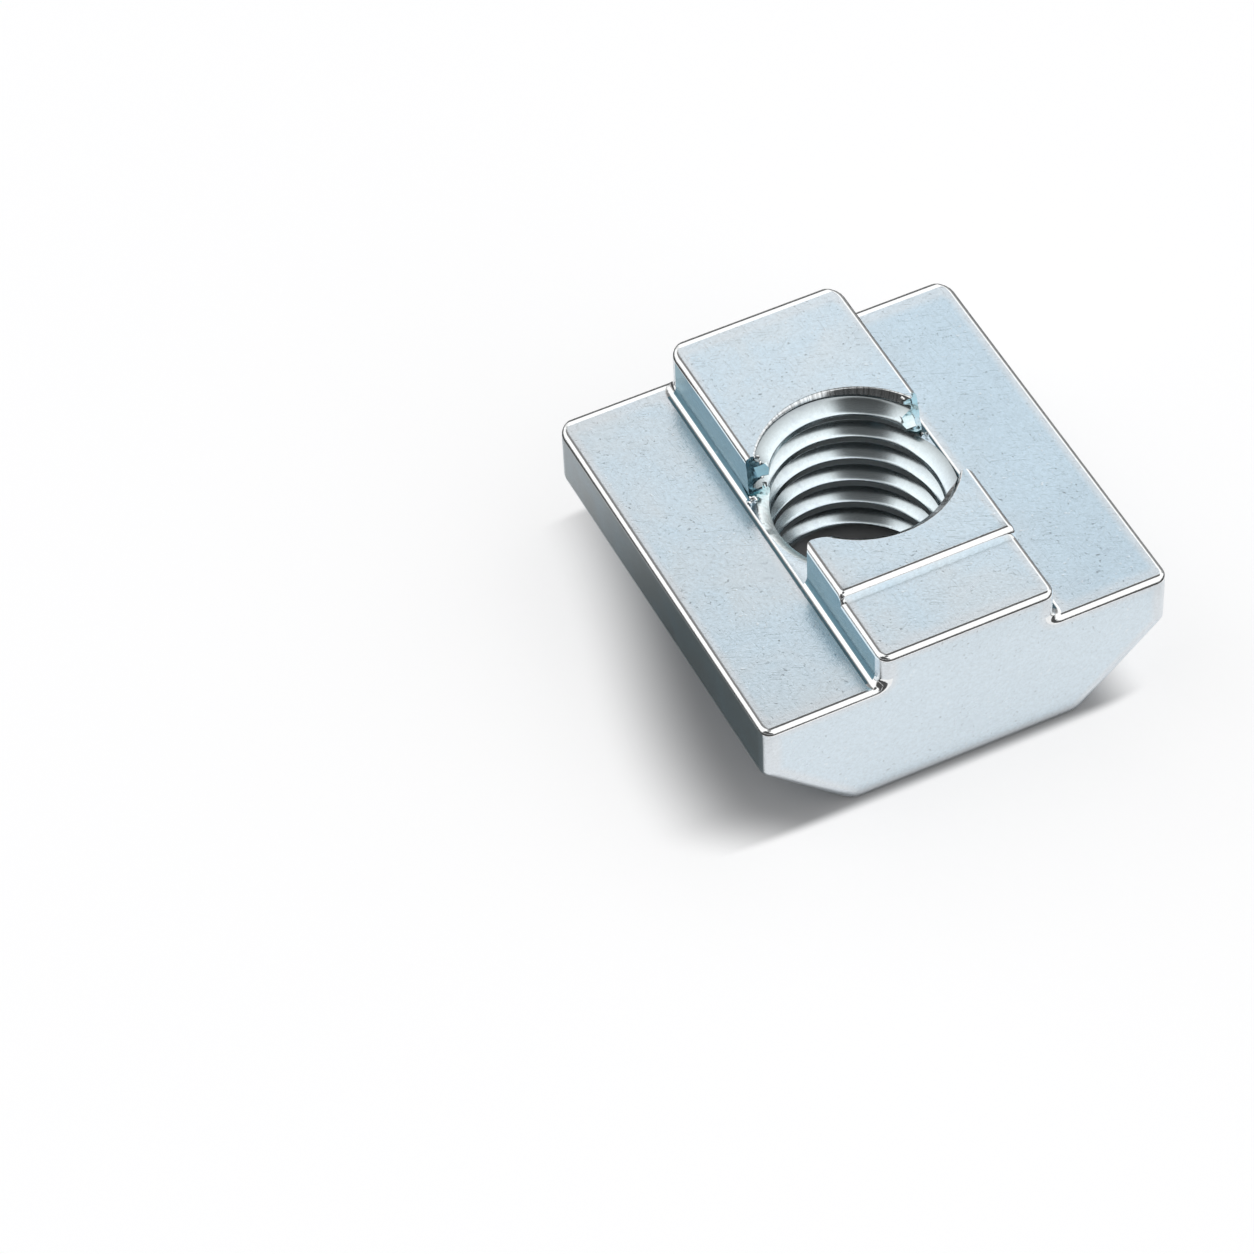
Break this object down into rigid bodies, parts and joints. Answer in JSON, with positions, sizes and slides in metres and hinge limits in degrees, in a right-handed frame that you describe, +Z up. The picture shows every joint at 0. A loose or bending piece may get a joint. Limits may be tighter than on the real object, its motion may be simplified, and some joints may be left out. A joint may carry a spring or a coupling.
{
  "type": "slide nut",
  "caption": "T-shaped zinc plated steel slide nut for a slotted profile, with a threaded through bore, a raised boss and chamfered flanks.",
  "frame": {"origin": "middle of the narrow underside on which the nut rests", "axes": "+X across the nut, +Y along the slot away from the stepped end of the boss, +Z up the bore out of the boss"},
  "size_m": [0.0172, 0.018, 0.0078],
  "materials": {
    "zinc_plated_steel": "bright blue-white zinc plating, satin on the flats and polished on the rounded edges"
  },
  "bodies": {
    "root": {"slide_nut": "zinc_plated_steel"}
  },
  "joints": []
}
